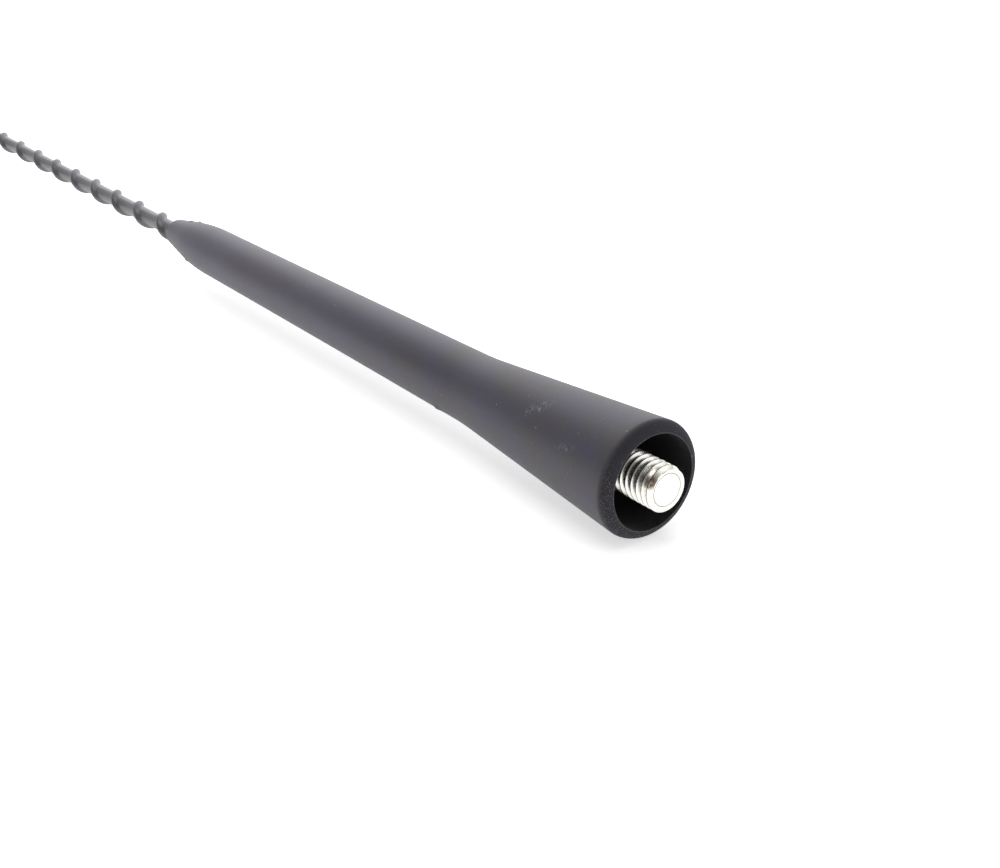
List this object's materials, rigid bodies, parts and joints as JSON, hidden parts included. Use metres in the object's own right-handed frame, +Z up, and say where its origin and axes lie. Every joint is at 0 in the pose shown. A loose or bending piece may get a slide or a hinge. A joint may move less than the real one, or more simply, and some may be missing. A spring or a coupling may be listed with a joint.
{
  "type": "car mast aerial",
  "caption": "Screw-in car roof mast aerial: a flared rubber boot with a threaded metal stud in its open bell, and a thin whip with a helical rib and a rounded tip.",
  "frame": {"origin": "centre of the boot's open mouth, on the axis of the mast", "axes": "+X out of the mouth along the stud, with the mast running along -X; +Z up as it lies"},
  "size_m": [0.205, 0.0132, 0.0131],
  "materials": {
    "boot_rubber": "matte moulded charcoal rubber with a fine grain",
    "stud_nickel": "bright nickel plate on turned brass",
    "rod_steel": "drawn spring steel",
    "jacket_plastic": "satin dark grey",
    "cap_plastic": "satin dark grey"
  },
  "bodies": {
    "root": {"rubber_boot": "boot_rubber", "threaded_stud": "stud_nickel", "core_rod": "rod_steel", "ribbed_jacket": "jacket_plastic", "tip_cap": "cap_plastic"}
  },
  "joints": []
}
